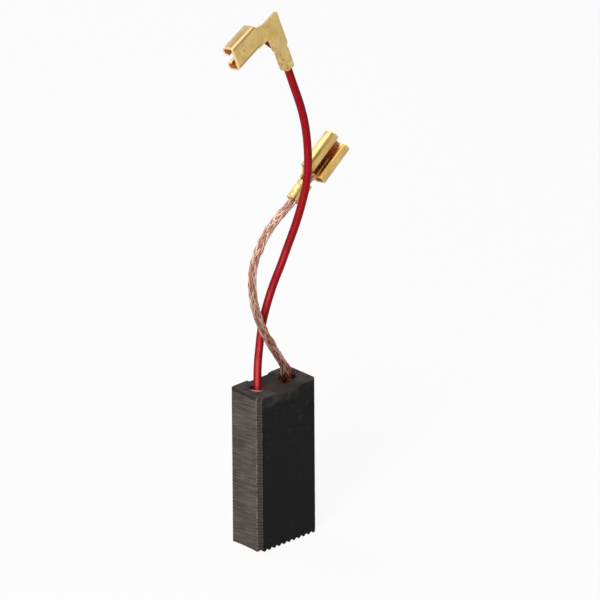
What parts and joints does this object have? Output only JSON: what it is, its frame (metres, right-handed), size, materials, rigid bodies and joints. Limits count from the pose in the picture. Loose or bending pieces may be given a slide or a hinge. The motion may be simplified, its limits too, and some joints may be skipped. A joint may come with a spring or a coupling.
{
  "type": "carbon brush",
  "caption": "Rectangular carbon brush with a toothed curved contact face, a grooved head, a copper braid lead and an insulated sense lead, each ending in a crimped brass blade receptacle",
  "frame": {"origin": "middle of the contact face, at the level of the tooth tips the brush stands on", "axes": "+X across the width of the block, +Y through its thickness along the commutator's running direction, +Z from the contact face to the leads"},
  "size_m": [0.0298, 0.0103, 0.0914],
  "materials": {
    "carbon": "pressed and ground carbon, dull, with fine grinding lines",
    "tamped_copper": "tamped copper powder, rough and dull red-brown",
    "copper_braid": "braided bare copper wire, bright pink copper",
    "terminal_brass": "rolled and pressed brass strip, satin with bright folds",
    "red_sleeve": "smooth red insulation with a soft shine",
    "copper_strand": "stranded bare copper"
  },
  "bodies": {
    "root": {"carbon_block": "carbon", "braid_plug": "tamped_copper", "copper_braid": "copper_braid", "braid_terminal": "terminal_brass", "wire_plug": "tamped_copper", "wire_sleeve": "red_sleeve", "wire_core": "copper_strand", "flag_terminal": "terminal_brass"}
  },
  "joints": []
}
